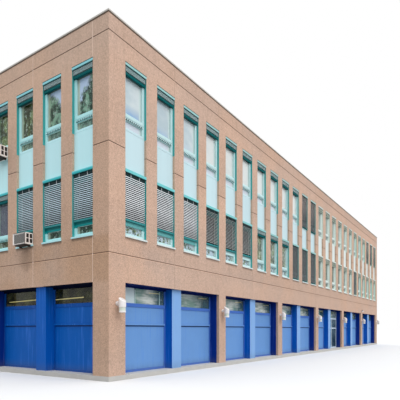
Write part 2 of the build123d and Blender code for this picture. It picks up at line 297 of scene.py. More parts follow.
def concrete_finish(colours):
    """Panels of pinkish aggregate with joints, with painted shade that makes the ends browner
    and darkens the wall right below the sills.
    """
    finish = Finish("Exposed aggregate concrete")
    x, y, z = finish.x, finish.y, finish.z
    specks = finish.noise(27, 4, 0.85)
    grit = finish.noise(120, 2, 0.7)
    stones = finish.noise(9, 3, 0.6)
    clouds = finish.noise(0.7, 4, 0.6)
    patches = finish.noise(0.35, 2, 0.5, shift=(3, 7, 1))
    streaks = finish.noise(1, 3, 0.6, stretch=(6, 6, 0.3))
    panel = finish.random((x + y).step(0, 2 * PITCH), z.step(JOINT, STOREY), 0.0)
    tone = varied(1, (specks, 1.4), (grit, 0.9), (stones, 0.2), (clouds, 0.18), (panel, 0.05))
    # Each level joint is a dark line, the joint with painted shade on its upper chamfer,
    # and a painted highlight on the lit chamfer below it
    above = z.within(JOINT - STOREY / 2, STOREY) - STOREY / 2
    tone = tone - streaks.smooth(0.45, 0.8) * 0.07 - above.smooth(-0.25, -0.02) * 0.05
    dark = above.band(-0.010, -0.005, 0.018, 0.025) * z.over(3)
    painted_highlight = above.band(-0.030, -0.024, -0.012, -0.006) * z.over(3)
    tone = tone * (1 - dark * 0.6) + painted_highlight * 0.25
    # Painted shade right under the sills, and not under the corners
    front = finish.front()
    from_middle = abs(y) + (abs(x) - abs(y)) * front
    last_window = high.y - 0.6 + front * (high.x - high.y)
    across = finish.along(front).within(CORNER - 0.02, PITCH)
    shade = z.smooth(4.30, 4.38) * z.under(4.45) * across.under(1.0)
    shade = shade * last_window.over(from_middle)
    tone = tone * (1 - shade * (0.46 - front * 0.12))
    # Grey dirt over the ground floor, and a rust-brown run below the lower cooler
    warm = finish.mix(patches.smooth(0.35, 0.7), colours.concrete,
                      tinted(colours.concrete, 1.04, 0.99, 0.94))
    over_lintel = z.band(2.9, 3.1, 4.3, 4.5)
    reach = ((y + 2.35) / 0.45) ** 2.0 + ((z - 4.0) / 0.55) ** 2.0
    run = reach.smooth(1.0, 0.1) * x.under(-18.2) * (0.6 + streaks * 0.6)
    grey = tinted(colours.concrete, 0.80, 0.84, 0.88)
    stained = finish.layers(warm, (clouds.smooth(0.5, 0.72) * over_lintel * 0.55, grey),
                            (run * 0.4, 112, 90, 70))
    # On the ends the concrete is a browner copy with painted shade, darker low down and
    # lighter higher up, with damp patches under the windows
    brown = finish.mix(z.smooth(5.0, 10.5), (0.95, 0.94, 0.90), (1.04, 1.06, 1.04))
    brown = finish.mix(patches.smooth(0.42, 0.62) * over_lintel, brown, (0.86, 0.82, 0.73))
    shaded = finish.node("ShaderNodeVectorMath", {"operation": "MULTIPLY"},
                         {0: stained, 1: brown})
    return finish.surface(finish.mix(front, shaded, stained), 0.88, 0.25, tone,
                          (specks, 0.004, 0.5))


def floor_concrete_finish():
    finish = Finish("Plain grey concrete")
    tone = varied(1, (finish.noise(2.2, 4, 0.6), 0.3), (finish.noise(45, 2), 0.12))
    return finish.surface(linear(196, 193, 188), 0.85, tone=tone,
                          relief=(finish.noise(25, 4), 0.002, 0.3))


def gravel_finish():
    finish = Finish("Roof gravel")
    stones = finish.node("ShaderNodeTexVoronoi", None, {"Vector": finish.at, "Scale": 28.0})
    tone = varied(0.75 + stones * 0.6, (finish.noise(0.5, 4), 0.35))
    return finish.surface(linear(150, 146, 138), 0.95, tone=tone, relief=(stones, 0.01, 0.6))


def painted(name, colour, roughness, dirt, gloss=0.3, far=None):
    """Satin paint on metal, with faint clouds, fine streaks and a little relief. far is its
    colour at the pale far windows."""
    finish = Finish(name)
    if far:
        colour = finish.mix(finish.pale_far(finish.long_wall()), colour, far)
    clouds = finish.noise(1.3, 3, 0.6)
    streaks = finish.noise(1, 3, 0.6, stretch=(9, 9, 0.7))
    tone = varied(1, (clouds, dirt), (finish.noise(60, 2), 0.05))
    tone = tone - streaks.smooth(0.5, 0.8) * dirt * 0.6
    return finish.surface(colour, varied(roughness, (clouds, 0.15)), gloss, tone,
                          (finish.noise(14, 2), 0.0008, 0.4))


def sealant_finish():
    """Joint sealant, painted nearly as dark as the concrete on the long fronts and pale on
    the ends, as the joints look in each side's light.
    """
    finish = Finish("Joint sealant")
    colour = finish.mix(finish.front(), linear(248, 224, 206), linear(174, 146, 128))
    return finish.surface(colour, 0.8, tone=0.95 + finish.noise(6, 3) * 0.1)


def frame_finish(name, on_fronts, on_ends, shaded, clear, hidden, foot=None, under_blind=0.0):
    """Frame paint with painted shade: its own colour up to one level over the sill, and a
    shade colour above another, where the frame lies in the blind's shadow. foot is the colour
    of the upper frames' bottom rails, and under_blind the depth of the painted shade that a
    hanging blind throws on the transom below it."""
    finish = Finish(name)
    long_wall = finish.long_wall()
    along = finish.along(long_wall)
    level = finish.over_sill()
    clouds = finish.noise(2, 3, 0.6)
    colour = finish.mix(long_wall, on_ends, on_fronts)
    if foot:
        across = along.within(CORNER, PITCH)
        rail = level.under(0.128) * finish.upstairs() * across.over(0.07) * across.under(0.89)
        colour = finish.mix(rail, colour, finish.mix(long_wall, tinted(foot, *END_TINT), foot))
    # Painted shade on the transom under a hanging blind and above the clear level, with less of it
    # at the pale far windows
    transom = level.smooth(0.31, 0.35) * (1 - long_wall * along.smooth(4.5, 4.7)) * under_blind
    dull = level.smooth(clear, hidden) + transom * level.smooth(0.38, 0.46) * (1 - long_wall)
    far = long_wall * along.over(PALE_FROM)
    colour = finish.layers(colour, (transom * (1 - long_wall * 0.25), 8, 152, 152),
                           (far * 0.7, 226, 234, 228), (dull * (1 - far * 0.75), shaded))
    return finish.surface(colour, 0.4, 0.1 if under_blind else 0.4, 0.95 + clouds * 0.1,
                          (clouds, 0.002, 0.3))


def trim_finish(colours):
    """Paint of the header strips, with painted shade: dark edges on the upper ones, and a dark
    foot on the lower ones, which on the ends also darken towards it. All are paler towards
    the far bays of the long walls."""
    finish = Finish("Header strip paint")
    long_wall = finish.long_wall()
    along = finish.along(long_wall)
    dark = linear(8, 78, 80)
    height = 0.1
    share = finish.z.within(6.45, STOREY) / height
    clouds = finish.noise(2, 3, 0.6)
    # Painted shade along the foot of the strips and along both edges of the upper ones
    foot = share.smooth(0.16, 0.08)
    edges = share.smooth(0.22, 0.14) + share.smooth(0.80, 0.88)
    upper = finish.mix(long_wall, linear(140, 214, 222), linear(156, 204, 202))
    upper = finish.mix(edges * 0.9, upper, dark)
    lower = finish.mix(share.smooth(0.45, 1.0), linear(24, 176, 182), linear(128, 226, 232))
    pale_far = finish.mix(foot, linear(214, 222, 214), linear(60, 84, 76))
    colour = finish.layers(lower, (long_wall, colours.trim), (foot * 0.85, dark),
                           (finish.upstairs(), upper),
                           (long_wall * along.smooth(3.0, 14.0) * 0.5, 170, 190, 184),
                           (long_wall * along.over(PALE_FROM) * 0.9, pale_far))
    return finish.surface(colour, 0.45, 0.3, 0.94 + clouds * 0.12, (clouds, 0.002, 0.3))


def reveal_finish(colours):
    """Lining paint of the window openings, paler towards the front's far bays."""
    finish = Finish("Reveal lining paint")
    long_wall = finish.long_wall()
    along = finish.along(long_wall)
    clouds = finish.noise(2, 3, 0.6)
    pale = finish.mix(along.over(27.4), linear(220, 226, 214), linear(176, 210, 194))
    colour = finish.layers(colours.lining,
                           (long_wall * along.smooth(10.0, PALE_FROM) * 0.3, pale),
                           (long_wall * along.over(PALE_FROM), pale))
    return finish.surface(colour, 0.45, 0.3, 0.92 + clouds * 0.16, (clouds, 0.001, 0.3))


def spandrel_finish(colours):
    """Enamelled sheet, painted slightly deeper on the ends than on the long fronts, as it
    looks in the ends' light.
    """
    finish = Finish("Enamelled spandrel")
    front = finish.front()
    sheet = finish.random((finish.x + finish.y).step(0, PITCH), 1.0, 2.0)
    waves = finish.noise(1, 2, 0.5, stretch=(3.5, 3.5, 0.25))
    deep = tinted(colours.spandrels, *END_TINT)
    colour = finish.layers(deep, (front, colours.spandrels),
                           (finish.pale_far(front) * 0.75, 228, 234, 228))
    return finish.surface(colour, 0.35, 0.3,
                          varied(0.97 + front * 0.03, (sheet, 0.05), (waves, 0.10)),
                          (waves, 0.004, 0.25))


def soffit_finish():
    """Navy paint over the ground-floor recesses, with painted shade that makes it darker on the
    ends.
    """
    finish = Finish("Soffit paint")
    colour = finish.mix(finish.long_wall(0.67), linear(2, 8, 34), linear(12, 30, 92))
    return finish.surface(colour, 0.7, 0.05, 0.9 + finish.noise(1.3, 3) * 0.2)


def blue_finish(name, lit_colour, deep, shadow_line=0.0):
    """Blue paint with painted light: paler on faces that look out of the long fronts and deeper
    on the others, with rain runs. shadow_line is how dark the painted shadow below the drip
    rail is."""
    finish = Finish(name)
    z = finish.z
    front = finish.front()
    clouds = finish.noise(1.1, 4, 0.6)
    runs = finish.noise(1, 4, 0.65, stretch=(14, 14, 0.5))
    washed = tuple(min(1.0, v * 1.5 + 0.05) for v in deep)
    # The paler colour goes on faces that look out of the long fronts and the deep one is painted
    # shade on the others; the last coat is the painted shadow below the drip rail
    colour = finish.layers(deep, (front, lit_colour),
                           (runs.smooth(0.52, 0.72) * (0.6 - front * 0.3), washed),
                           (z.smooth(0.5, 0.15) * runs * 0.5, 90, 92, 90),
                           (z.smooth(1.640, 1.660) * z.under(1.694) * shadow_line, 6, 30, 84))
    return finish.surface(colour, varied(0.5, (clouds, 0.15)), 0.12,
                          varied(1, (clouds, 0.14), (finish.noise(50, 2), 0.05)),
                          (finish.noise(5, 2), 0.003, 0.3))


def mirrored_outside(finish, front, level, clouds, leaves, twigs):
    """What the window panes mirror: sky and trees on the long fronts, trees on the ends, and
    how much of the view in they cover."""
    small = level.under(0.5)
    upper = finish.upstairs()
    along = finish.along(front)
    far = along.smooth(6.4, 22.4) * 0.7
    own = finish.random(along.step(CORNER, PITCH), upper, front)
    blue = level.smooth(1.0, 0.6) * clouds.smooth(0.3, 0.6) * along.smooth(5.4, 1.2)
    sky = finish.layers(
        linear(196, 214, 222), (clouds.smooth(0.35, 0.65), 228, 238, 240),
        (own * 0.7, 240, 248, 248), (along.smooth(4.4, 5.8) * 0.6, 252, 252, 246),
        (blue, 150, 188, 228), (small, 228, 236, 246), (far, 252, 255, 252))
    trees = finish.layers(
        linear(50, 74, 48), (leaves.smooth(0.44, 0.58), 140, 158, 112),
        (twigs.smooth(0.48, 0.62), 216, 230, 222),
        (small * twigs.smooth(0.45, 0.51), 216, 236, 250), (far * 0.7, 224, 234, 222))
    dull = finish.mix(upper, linear(128, 136, 118), linear(160, 172, 158))
    long_way = finish.layers(trees, (upper, sky), (front * along.over(PALE_FROM) * 0.85, dull))
    # On the ends, green trees near the corner and olive ones beyond, under a jagged crown
    olive = along.smooth(10.6, 8.6)
    light = finish.mix(olive, linear(156, 204, 178), linear(140, 164, 104))
    crown = varied(abs(along - 10.95), (leaves, 1.4))
    open_sky = (finish.z - crown).smooth(8.35, 8.6)
    room = (1 - upper) * abs(finish.y).under(1.4) * (1 - small)
    short_way = finish.layers(
        linear(20, 66, 50), (olive, 44, 60, 16), (leaves.smooth(0.46, 0.60), light),
        (twigs.smooth(0.54, 0.64) * 0.85, 212, 236, 226), (small * upper * 0.4, 150, 190, 176),
        (open_sky, 204, 228, 255), (room * 0.85, 104, 110, 134))
    cover = (upper * front + open_sky * (1 - front)) * 0.2
    return finish.mix(front, short_way, long_way), cover


def behind_clerestory(finish, front, clouds, leaves, twigs):
    """What shows in the ground-floor panes: on the fronts a room that is pale at its left and
    darker to its right, on the ends a dim one, and a lit lamp tube in both. It also gives how
    much of the view in they cover."""
    along = finish.along(front)
    across = along.within(CORNER, BAY / 2)
    second = along.within(CORNER, BAY).over(BAY / 2)
    bands = finish.noise(1, 3, 0.6, stretch=(1.1, 1.1, 8), shift=(4, 1, 2))
    shelves = finish.layers(
        linear(140, 166, 158), (bands.smooth(0.35, 0.65), 236, 242, 236),
        ((0.35 + (1 - second) * 0.45) * clouds.smooth(0.4, 0.6), 84, 148, 136),
        (along.under(1.57), 222, 240, 244))
    deep = varied(across, (clouds, 2.0), (twigs, 0.5)).smooth(1.3, 2.3) * along.over(1.57)
    dim = finish.mix(leaves.smooth(0.45, 0.6), linear(44, 46, 24), linear(92, 94, 56))
    room = finish.mix(front, dim, finish.layers(shelves, (deep * 0.85, 60, 98, 114)))
    # The glazed half bay shows a dim room with a faint sky in its glass
    glazed = finish.z.under(2.30)
    soft = finish.mix(clouds.smooth(0.3, 0.7), linear(50, 74, 88), linear(120, 146, 160))
    height = finish.z - 2.575 - across * 0.02 - front * 0.21
    reach = across.over(0.3) * (1 - second) + across.under(1.5) * second
    reach = reach + (across.over(1.6) * across.under(2.2) - reach) * front
    lit = abs(height).smooth(0.022, 0.010) * reach * (1 - front * 0.3) * (1 - glazed)
    cover = (1 - deep) * front * (1 - glazed) * 0.2 + lit * 0.3
    return finish.layers(room, (glazed, soft), (lit, 250, 236, 160)), cover


def hanging_blind_finish(colours):
    """Paint of the hanging blinds, with painted shade that darkens them towards their lower
    end, and a cooler white on the ends as they look in the ends' light.
    """
    finish = Finish("Light slats")
    tone = 0.58 + finish.over_sill().smooth(0.6, 1.25) * 0.42
    colour = finish.mix(finish.front(), linear(230, 248, 255), colours.blinds)
    return finish.surface(colour, 0.35, 0.3, varied(tone, (finish.noise(60, 2), 0.05)),
                          (finish.noise(14, 2), 0.0008, 0.4))


def closed_blind_finish(colours):
    """Paint of the closed blinds, with upright streaks and paler towards the top upstairs."""
    finish = Finish("Dark slats")
    streaks = finish.noise(1, 3, 0.7, stretch=(22, 22, 0.5))
    top = finish.upstairs() * finish.over_sill().smooth(0.5, 1.7)
    colour = finish.layers(colours.dark_blinds, (top * 0.8, 160, 150, 146))
    return finish.surface(colour, 0.45, 0.3, 0.72 + streaks * 0.56, (streaks, 0.001, 0.3))


def glass_finish():
    """Window glass: pale on the long fronts, which look at the sky, and darker on the ends."""
    finish = Finish("Window glass")
    x, y, z = finish.x, finish.y, finish.z
    front = finish.front()
    level = finish.over_sill()
    clouds = finish.noise(1, 3, 0.55, stretch=(0.9, 0.9, 1.3))
    leaves = finish.noise(1, 5, 0.75, stretch=(3.0, 3.0, 2.2), shift=(2, 5, 0))
    twigs = finish.noise(1, 4, 0.8, stretch=(9, 9, 6), shift=(1, 2, 3))
    outside, cover = mirrored_outside(finish, front, level, clouds, leaves, twigs)
    inner, inner_cover = behind_clerestory(finish, front, clouds, leaves, twigs)
    # Painted light: the lit inner reveal seen through the glass, as a pale strip to one
    # side of each pane
    across = finish.along(front).within(CORNER, PITCH)
    edge = across.over(0.765) * front + across.under(0.195) * (1 - front)
    edge_colour = finish.mix(front, linear(206, 220, 196), linear(222, 240, 238))
    # Panes behind a blind that hangs down are in its shade
    reach = abs(x).over(8.95) * front + abs(y).over(1.4) * (1 - front)
    shaded = (x * y).over(0) * reach * level.over(0.5) * z.under(UPSTAIRS)
    ground = z.under(3.2)
    colour = finish.layers(outside, (edge * 0.85, edge_colour), (shaded * 0.9, 22, 40, 56),
                           (ground, inner))
    return finish.surface(colour, 0.04, 0.3, IOR=1.5,
                          Alpha=0.58 + cover * (1 - ground) + ground * inner_cover)


def lamp_finish():
    """Glossy white, greenish below the hood where the lantern is."""
    finish = Finish("Lamp white")
    lantern = finish.z.band(2.112, 2.122, 2.210, 2.222)
    dust = finish.noise(9, 3)
    colour = finish.mix(lantern, linear(240, 236, 234), linear(214, 222, 210))
    return finish.surface(colour, 0.25, tone=0.94 + dust * 0.08, relief=(dust, 0.0005, 0.3),
                          Coat_Weight=0.3)


def make_finishes(colours):
    """All the materials, by the record's slot name or by a name of their own."""
    # end_frames and the sill's second colour are painted light: the same paints as they look in
    # the ends' light
    end_frames = tinted(colours.frames, 0.88, 1.12, 1.12)
    # dull is the painted shade of the frame heads behind the raised blinds
    dull, bead = linear(16, 66, 66), linear(176, 204, 200)
    made = {
        "concrete": concrete_finish(colours),
        "floor_concrete": floor_concrete_finish(),
        "roof_gravel": gravel_finish(),
        "turquoise_frame": frame_finish("Turquoise frame paint", colours.frames, end_frames,
                                        dull, 1.735, 1.75, foot=colours.spandrels),
        "covered_frame": frame_finish("Covered frame paint", colours.frames, end_frames,
                                      linear(4, 106, 106), 0.43, 0.57, under_blind=1.0),
        "sill": frame_finish("Sill sheet", linear(220, 230, 228), linear(186, 234, 238),
                             dull, 9.0, 10.0),
        "bead": frame_finish("Sash bead paint", bead, bead, linear(40, 60, 58), 1.735, 1.75),
        "turquoise_trim": trim_finish(colours),
        "reveal": reveal_finish(colours),
        "spandrel": spandrel_finish(colours),
        "window_glass": glass_finish(),
        "blind": hanging_blind_finish(colours),
        "dark_blind": closed_blind_finish(colours),
        "raised_blind": painted("Gathered slats", linear(156, 178, 178), 0.4, 0.1,
                                far=linear(176, 186, 172)),
        # The rails are painted as dark as they look in their shade
        "rail": painted("Bottom rail paint", colours.rails, 0.6, 0.15, 0.05,
                        far=linear(150, 164, 150)),
        "hanging_rail": painted("Hanging rail paint", linear(66, 146, 148), 0.6, 0.15, 0.05),
        "post_blue": blue_finish("Post paint", colours.lit_blue, colours.shaded_blue),
        "panel_blue": blue_finish("Panel paint", linear(108, 154, 212), linear(2, 92, 180), 0.85),
        "rail_blue": blue_finish("Rail paint", linear(76, 118, 200), linear(2, 80, 166)),
        "lining_blue": blue_finish("Lining paint", colours.navy, colours.navy),
        "soffit": soffit_finish(),
        "sealant": sealant_finish(),
        "lamp_white": lamp_finish(),
    }
    # The material's name, its colour, how rough it is and how dirty
    plain = {
        "coping_metal": ("Coping sheet", (196, 190, 182), 0.45, 0.2),
        # A dark strip that stands in for the shadow under the coping
        "coping_seal": ("Coping shade strip", (96, 82, 70), 0.8, 0.1),
        "glazing_frame": ("Pale glazing frame", (196, 212, 228), 0.35, 0.12),
        "cooler_casing": ("Cooler casing paint", (250, 242, 236), 0.45, 0.15),
        "grille": ("Cooler grille", (132, 130, 126), 0.5, 0.2),
        "inner_reveal": ("Inner reveal board", (232, 236, 226), 0.7, 0.05),
        "inner_blind": ("Inner blind cloth", (206, 208, 196), 0.9, 0.1),
        # The blinds' head boxes are painted as dark as they look in their shade
        "head_box": ("Blind head box", (10, 40, 42), 0.6, 0.05),
        "slanted_blind": ("Shaded slats", (214, 216, 214), 0.4, 0.1),
        "tape": ("Blind tape", (206, 210, 212), 0.8, 0.05),
        "vent_dark": ("Vent shadow", (20, 58, 60), 0.8, 0.1),
        "level_sealant": ("Level joint sealant", (168, 130, 104), 0.8, 0.2),
        "lantern": ("Lantern glass", (214, 222, 208), 0.2, 0.05),
        "brown_metal": ("Globe lamp cap", (78, 50, 30), 0.5, 0.1),
        "black": ("Dark opening", (44, 38, 36), 0.7, 0.1),
    }
    for slot, (name, colour, roughness, dirt) in plain.items():
        made[slot] = painted(name, linear(*colour), roughness, dirt)
    return made


finishes = {}


class Side:
    """One side of the building, with places along the wall from its left end seen outside."""

    def __init__(self, bays, x, y, turn):
        self.bays = bays
        self.corner = Vector((x, y, 0))
        self.turn = math.radians(turn)

    def place(self, along, level=0.0):
        """A point and the turn of this side, for a piece drawn as if on the front."""
        moved = self.corner + Matrix.Rotation(self.turn, 3, "Z") @ Vector((along, 0, 0))
        return (moved.x, moved.y, level, self.turn)


# Front, right, rear and left
sides = (Side(6, low.x, low.y, 0), Side(2, high.x, low.y, 90),
         Side(6, high.x, high.y, 180), Side(2, low.x, high.y, 270))


def windows(sizes, wanted=lambda side, number, upper: True):
    """The sill places of the windows that are wanted. On the ends the windows are counted
    from the corner that repeats the front corner of the left side."""
    places = []
    for side in sides:
        count = side.bays * 4
        for i in range(count):
            number = count - i if side.bays == 2 else i + 1
            for upper in (False, True):
                if wanted(side, number, upper):
                    level = sizes.first_sill + (sizes.storey_height if upper else 0)
                    along = sizes.corner_width + i * sizes.window_pitch
                    places.append(side.place(along, level))
    return places


def blind_state(side, number, upper):
    """How the solid model's blind hangs at this window."""
    if side.bays == 2:
        return "lowered" if not upper and number <= 3 else "raised"
    if number in ((11, 12, 22, 23, 24) if upper else (10, 11, 12, 19)):
        return "closed"
    if upper or number > 6:
        return "raised"
    return "lowered" if number <= 3 else "slanted"


def with_blinds(sizes, *states, bays=(6, 2)):
    """The places of the windows whose blinds hang in these ways, on walls of so many bays."""
    return windows(sizes, lambda side, *window: side.bays in bays
                   and blind_state(side, *window) in states)


def moved(places, depth, level):
    """Places that are set back into the wall and up."""
    return [(x - math.sin(turn) * depth, y + math.cos(turn) * depth, z + level, turn)
            for x, y, z, turn in places]


def new_object(name, data):
    made = bpy.data.objects.new(name, data)
    bpy.context.scene.collection.objects.link(made)
    return made


def mesh_of(name, bm):
    bmesh.ops.recalc_face_normals(bm, faces=bm.faces)
    mesh = bpy.data.meshes.new(name)
    bm.to_mesh(mesh)
    bm.free()
    return mesh


def one_piece(name, bm, material):
    """An object of its own, with one material."""
    made = new_object(name, mesh_of(name, bm))
    made.data.materials.append(material)
    return made


def add_box(bm, x0, x1, y0, y1, z0, z1, lean=0.0):
    """A box; lean moves its top along X."""
    corners = [bm.verts.new((x + (lean if z == z1 else 0), y, z))
               for z in (z0, z1) for x, y in ((x0, y0), (x1, y0), (x1, y1), (x0, y1))]
    faces = ((3, 2, 1, 0), (4, 5, 6, 7), (0, 1, 5, 4), (1, 2, 6, 5), (2, 3, 7, 6), (3, 0, 4, 7))
    for face in faces:
        bm.faces.new([corners[i] for i in face])


def boxes(*spans):
    """A new mesh under work, of boxes given by x0, x1, y0, y1, z0 and z1."""
    bm = bmesh.new()
    for span in spans:
        add_box(bm, *span)
    return bm


def add_ring(bm, wide, outer, inner, profile):
    """A mitred ring in an opening. outer and inner are (distance from the opening's sides, z0,
    z1), and the profile is a closed loop of (share of the way from outer to inner, depth)."""
    loops = []
    for share, depth in profile:
        edge, z0, z1 = [o + (i - o) * share for o, i in zip(outer, inner)]
        loops.append([bm.verts.new((x, depth, z)) for x, z in
                      ((edge, z0), (wide - edge, z0), (wide - edge, z1), (edge, z1))])
    join_loops(bm, loops, closed=True)


def join_loops(bm, loops, closed=False):
    """Joins loops of as many corners by faces, and if closed the last one to the first."""
    for first, second in zip(loops, loops[1:] + loops[:1] if closed else loops[1:]):
        for i in range(len(first)):
            j = (i + 1) % len(first)
            bm.faces.new((first[i], first[j], second[j], second[i]))


def repeat_tree():
    """The node tree that repeats a piece in a row at each point, turned by the point's turn."""
    tree = bpy.data.node_groups.new("Repeat at places", "GeometryNodeTree")
    for name, kind in (("Geometry", "Geometry"), ("Piece", "Object"), ("Count", "Int"),
                       ("Step", "Vector"), ("Tilt", "Float"), ("Play", "Float"),
                       ("Seed", "Int"), ("Material", "Material")):
        tree.interface.new_socket(name=name, in_out="INPUT", socket_type="NodeSocket" + kind)
    tree.interface.new_socket(name="Geometry", in_out="OUTPUT",
                              socket_type="NodeSocketGeometry")

    def add(kind, settings=None, inputs=None):
        return add_node(tree, kind, settings, inputs).outputs

    given = add("NodeGroupInput")
    row = add("GeometryNodeMeshLine", {"mode": "OFFSET"},
              {"Count": given["Count"], "Offset": given["Step"]})
    piece = add("GeometryNodeObjectInfo", None, {"Object": given["Piece"]})
    tilt_and_play = {0: given["Tilt"], 1: given["Play"]}
    least = add("ShaderNodeMath", {"operation": "SUBTRACT"}, tilt_and_play)
    most = add("ShaderNodeMath", {"operation": "ADD"}, tilt_and_play)
    tilt = add("FunctionNodeRandomValue", {"data_type": "FLOAT"},
               {2: least[0], 3: most[0], "Seed": given["Seed"]})
    tilted = add("ShaderNodeCombineXYZ", None, {"X": tilt[1]})
    in_row = add("GeometryNodeInstanceOnPoints", None,
                 {"Points": row["Mesh"], "Instance": piece["Geometry"], "Rotation": tilted[0]})
    turn = add("GeometryNodeInputNamedAttribute", {"data_type": "FLOAT"}, {"Name": "turn"})
    turned = add("ShaderNodeCombineXYZ", None, {"Z": turn["Attribute"]})
    placed = add("GeometryNodeInstanceOnPoints", None,
                 {"Points": given["Geometry"], "Instance": in_row["Instances"],
                  "Rotation": turned[0]})
    plain = add("GeometryNodeRealizeInstances", None, {"Geometry": placed["Instances"]})
    finished = add("GeometryNodeSetMaterial", None,
                   {"Geometry": plain["Geometry"], "Material": given["Material"]})
    add("NodeGroupOutput", None, {"Geometry": finished["Geometry"]})
    return tree


def repeat(name, bm, places, finish, count=1, step=(0, 0, 0), tilt=0.0, play=0.0):
    """Makes one plain mesh of a piece that is repeated at places, and lets it ride."""
    piece = new_object(name + "_one", mesh_of(name + "_one", bm))
    points = bpy.data.meshes.new(name)
    points.from_pydata([place[:3] for place in places], [], [])
    turn = points.attributes.new("turn", "FLOAT", "POINT")
    turn.data.foreach_set("value", [place[3] for place in places])
    made = new_object(name, points)
    tree = bpy.data.node_groups.get("Repeat at places") or repeat_tree()
    modifier = made.modifiers.new("Repeat", "NODES")
    modifier.node_group = tree
    values = {"Piece": piece, "Count": count, "Step": step, "Tilt": tilt, "Play": play,
              "Seed": 7, "Material": finishes[finish]}
    for item in tree.interface.items_tree:
        if item.in_out == "INPUT" and item.name in values:
            modifier[item.identifier] = values[item.name]
    graph = bpy.context.evaluated_depsgraph_get()
    plain = bpy.data.meshes.new_from_object(made.evaluated_get(graph), depsgraph=graph)
    made.modifiers.clear()
    made.data = plain
    bpy.data.objects.remove(piece)
    if len(plain.polygons) == 0:
        raise RuntimeError(name + " came out empty")
    return settle(made)


def settle(piece):
    """Lets a finished piece ride on the building."""
    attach(piece, "root")
    return piece


class BUILDING_OT_finishes(bpy.types.Operator):
    """Gives every solid of the model its finish"""

    bl_idname = "building.finishes"
    bl_label = "Finishes"

    def execute(self, context):
        finishes.update(make_finishes(context.scene.building_colours))
        names = {part["node"]: part["material_slot"] for part in frame["record"]["subparts"]}
        names.update(window_sills="sill", infill_frames="rail_blue")
        for node, solid in frame["nodes"].items():
            for holder in solid.material_slots:
                holder.material = finishes[names[node]]
        return {"FINISHED"}


class BUILDING_OT_window_frames(bpy.types.Operator):
    """Makes the window frames, each with a large sash over a small one"""

    bl_idname = "building.window_frames"
    bl_label = "Window Frames"

    def execute(self, context):
        sizes = context.scene.building_sizes
        wide, tall = sizes.window_width, sizes.window_height
        jamb, rail, head = sizes.frame_jamb, sizes.bottom_rail, tall - sizes.frame_head
        face = sizes.frame_setback
        back = face + 0.06
        # The outer frame, the cores of the two sashes, and the sashes' mouldings
        bm = bmesh.new()
        add_ring(bm, wide, (0, 0, tall), (0.040, 0.044, head + 0.07),
                 ((0, face), (0.94, face), (1, face + 0.003), (1, back), (0, back)))
        core = ((0, face + 0.008), (1, face + 0.008), (1, back), (0, back))
        add_ring(bm, wide, (0.02, 0.02, 0.47), (jamb - 0.004, rail - 0.004, 0.379), core)
        add_ring(bm, wide, (0.02, 0.47, tall - 0.02), (jamb - 0.004, 0.581, head + 0.004), core)
        sash = ((0, face - 0.001), (0.10, face - 0.004), (0.88, face - 0.004),
                (1, face + 0.006), (1, back + 0.002), (0, back))
        add_ring(bm, wide, (0.042, 0.474, head + 0.065), (jamb, LARGE_FOOT, head), sash)
        add_ring(bm, wide, (0.042, 0.046, 0.384), (jamb, rail, SMALL_TOP), sash)
        frames = repeat("frames_open", bm.copy(), with_blinds(sizes, "raised"),
                        "turquoise_frame")
        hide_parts("window_frames")
        repeat("frames_behind_blinds", bm, with_blinds(sizes, "lowered", "slanted", "closed"),
               "covered_frame")
        return {"FINISHED"}


class BUILDING_OT_sash_beads(bpy.types.Operator):
    """Makes the grey-green beads round the panes"""

    bl_idname = "building.sash_beads"
    bl_label = "Sash Beads"

    def execute(self, context):
        sizes = context.scene.building_sizes
        depth, edge = sizes.frame_setback, sizes.frame_jamb
        profile = ((0, depth + 0.044), (0.25, depth + 0.040), (1, depth + 0.052),
                   (1, depth + 0.059), (0, depth + 0.059))
        bm = bmesh.new()
        for z0, z1 in ((LARGE_FOOT, sizes.window_height - sizes.frame_head),
                       (sizes.bottom_rail, SMALL_TOP)):
            add_ring(bm, sizes.window_width, (edge - 0.002, z0 - 0.002, z1 + 0.002),
                     (edge + 0.012, z0 + 0.012, z1 - 0.012), profile)
        repeat("sash_beads", bm, windows(sizes), "bead")
        return {"FINISHED"}


class BUILDING_OT_vents(bpy.types.Operator):
    """Makes the row of slanted vent slots over each small pane"""

    bl_idname = "building.vents"
    bl_label = "Vent Slots"

    def execute(self, context):
        sizes = context.scene.building_sizes
        face = sizes.frame_setback
        start, end = sizes.frame_jamb, sizes.window_width - sizes.frame_jamb
        places = with_blinds(sizes, "raised")
        back = boxes((start - 0.02, end + 0.02, face - 0.0055, face + 0.012, 0.384, 0.440),
                     (start - 0.02, end + 0.02, face - 0.0100, face - 0.0050, 0.376, 0.388))
        repeat("vent_backs", back, places, "vent_dark")
        lean = 0.03
        pitch = (end - start) / sizes.vent_slots
        bar = pitch * 0.48
        lefts = [start - (bar + lean) / 2 + i * pitch for i in range(sizes.vent_slots + 1)]
        bars = boxes(*((x, x + bar, face - 0.0095, face - 0.0050, 0.388, 0.442, lean)
                       for x in lefts))
        repeat("vent_bars", bars, places, "turquoise_frame")
        return {"FINISHED"}


class BUILDING_OT_reveals(bpy.types.Operator):
    """Makes the sheets on the sides of the window openings and the seals over the headers"""

    bl_idname = "building.reveals"
    bl_label = "Reveal Linings"

    def execute(self, context):
        sizes = context.scene.building_sizes
        wide, tall, thick = sizes.window_width, sizes.window_height, 0.004
        back = sizes.frame_setback - 0.001
        linings = boxes(*((x, x + thick, 0.003, back, 0.031, tall - 0.012)
                          for x in (0.0, wide - thick)))
        repeat("reveal_linings", linings, windows(sizes), "reveal")
        seal = boxes((-0.006, wide + 0.006, -0.0035, 0.003, tall + 0.001, tall + 0.015))
        upper = windows(sizes, lambda side, number, upper: upper)
        repeat("header_seals", seal, upper, "vent_dark")
        return {"FINISHED"}


